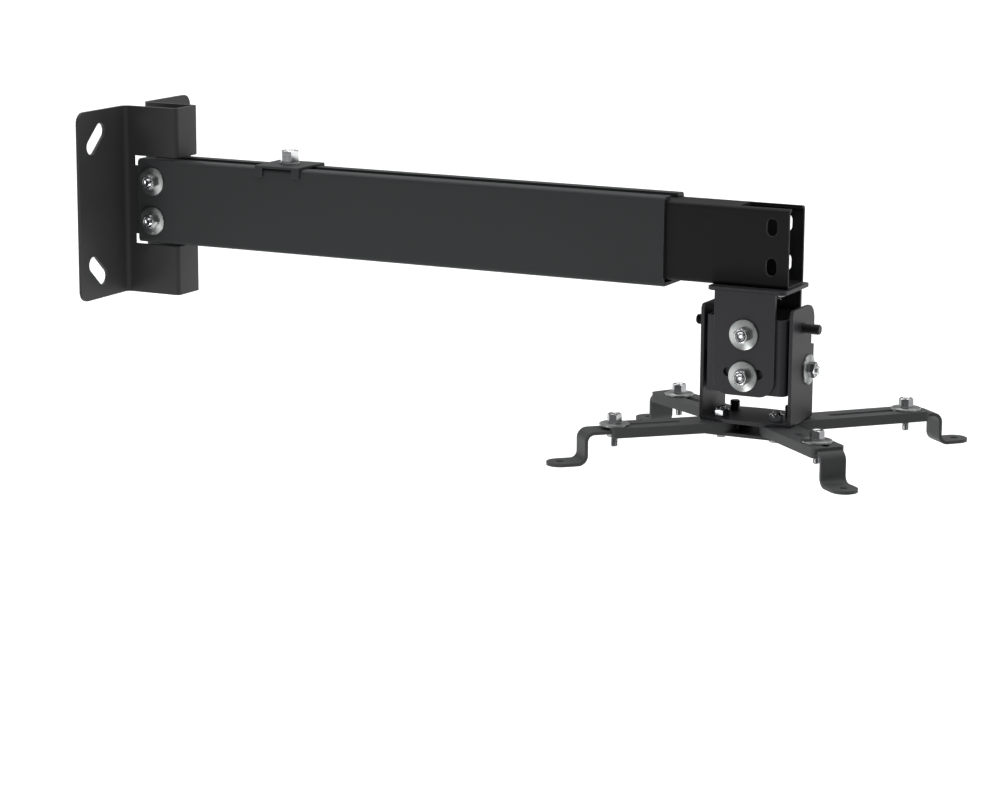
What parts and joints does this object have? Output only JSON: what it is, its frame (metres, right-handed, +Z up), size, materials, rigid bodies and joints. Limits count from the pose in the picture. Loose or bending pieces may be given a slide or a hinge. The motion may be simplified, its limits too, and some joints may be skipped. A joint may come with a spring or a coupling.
{
  "type": "projector mount",
  "caption": "Wall-fixed telescopic arm with a rolling and tilting head and a spider of turning arms with sliding feet that hold a projector.",
  "frame": {"origin": "centre of the wall plate's back, on the wall", "axes": "+X out from the wall along the arm, +Z up, +Y to the right of someone who looks at the wall from the arm's end"},
  "size_m": [0.5054, 0.1754, 0.1747],
  "materials": {
    "black_paint": "satin black powder coat with a fine grain",
    "zinc_washer": "dull zinc plate",
    "bright_zinc": "bright zinc plate",
    "black_steel": "black oxide"
  },
  "bodies": {
    "wall_sleeve": {"wall_plate": "black_paint", "sleeve": "black_paint", "plate_bolts": "bright_zinc", "plate_washers": "zinc_washer", "plate_nuts": "bright_zinc"},
    "sliding_arm": {"inner_arm": "black_paint", "clamp_saddle": "black_paint", "clamp_washer": "zinc_washer", "clamp_screw": "bright_zinc", "clamp_nut": "bright_zinc", "roll_bracket": "black_paint", "head_bolts": "bright_zinc", "head_nuts": "bright_zinc"},
    "rolling_box": {"tilt_box": "black_paint", "roll_bolts": "bright_zinc", "roll_washers": "zinc_washer", "roll_nuts": "bright_zinc"},
    "tilting_yoke": {"yoke": "black_paint", "tilt_pin": "black_steel", "tilt_pin_nuts": "black_steel", "tilt_spacers": "zinc_washer", "tilt_bolts": "bright_zinc", "tilt_washers": "zinc_washer", "tilt_nuts": "bright_zinc", "hub_plate": "black_paint", "near_hub_bolts": "bright_zinc", "near_hub_nuts": "bright_zinc", "far_hub_screws": "black_steel"},
    "left_arm": {"spider_arm_left": "black_paint"},
    "left_foot": {"foot_left": "black_paint", "foot_washer_left": "zinc_washer", "foot_bolt_left": "bright_zinc", "foot_nut_left": "bright_zinc"},
    "right_arm": {"spider_arm_right": "black_paint"},
    "right_foot": {"foot_right": "black_paint", "foot_washer_right": "zinc_washer", "foot_bolt_right": "bright_zinc", "foot_nut_right": "bright_zinc"},
    "front_arm": {"spider_arm_front": "black_paint"},
    "front_foot": {"foot_front": "black_paint", "foot_washer_front": "zinc_washer", "foot_bolt_front": "bright_zinc", "foot_nut_front": "bright_zinc"},
    "back_arm": {"spider_arm_back": "black_paint"},
    "back_foot": {"foot_back": "black_paint", "foot_washer_back": "zinc_washer", "foot_bolt_back": "bright_zinc", "foot_nut_back": "bright_zinc"}
  },
  "joints": [
    {"name": "arm_slide", "type": "slide", "parent": "wall_sleeve", "child": "sliding_arm", "axis": [1, 0, 0], "range_m": [0, 0.22]},
    {"name": "head_roll", "type": "hinge", "parent": "sliding_arm", "child": "rolling_box", "pos_m": [0.4102, 0, -0.0466], "axis": [0, 1, 0], "range_deg": [-8, 8]},
    {"name": "head_tilt", "type": "hinge", "parent": "rolling_box", "child": "tilting_yoke", "pos_m": [0.4102, 0, -0.0439], "axis": [1, 0, 0], "range_deg": [-18, 4]},
    {"name": "left_arm_turn", "type": "hinge", "parent": "tilting_yoke", "child": "left_arm", "pos_m": [0.3937, -0.0098, -0.1], "axis": [0, 0, 1], "range_deg": [-38, 42]},
    {"name": "left_foot_slide", "type": "slide", "parent": "left_arm", "child": "left_foot", "axis": [-0.7314, -0.682, 0], "range_m": [-0.0367, 0]},
    {"name": "right_arm_turn", "type": "hinge", "parent": "tilting_yoke", "child": "right_arm", "pos_m": [0.4267, 0.0098, -0.1], "axis": [0, 0, 1], "range_deg": [-42, 38]},
    {"name": "right_foot_slide", "type": "slide", "parent": "right_arm", "child": "right_foot", "axis": [0.682, 0.7314, 0], "range_m": [-0.0465, 0.0063]},
    {"name": "front_arm_turn", "type": "hinge", "parent": "tilting_yoke", "child": "front_arm", "pos_m": [0.4267, -0.0098, -0.1], "axis": [0, 0, 1], "range_deg": [-44, 36]},
    {"name": "front_foot_slide", "type": "slide", "parent": "front_arm", "child": "front_foot", "axis": [0.7547, -0.6561, 0], "range_m": [-0.0207, 0.01]},
    {"name": "back_arm_turn", "type": "hinge", "parent": "tilting_yoke", "child": "back_arm", "pos_m": [0.3937, 0.0098, -0.1], "axis": [0, 0, 1], "range_deg": [-52.5, 27.5]},
    {"name": "back_foot_slide", "type": "slide", "parent": "back_arm", "child": "back_foot", "axis": [-0.8434, 0.5373, 0], "range_m": [-0.0297, 0.011]}
  ]
}
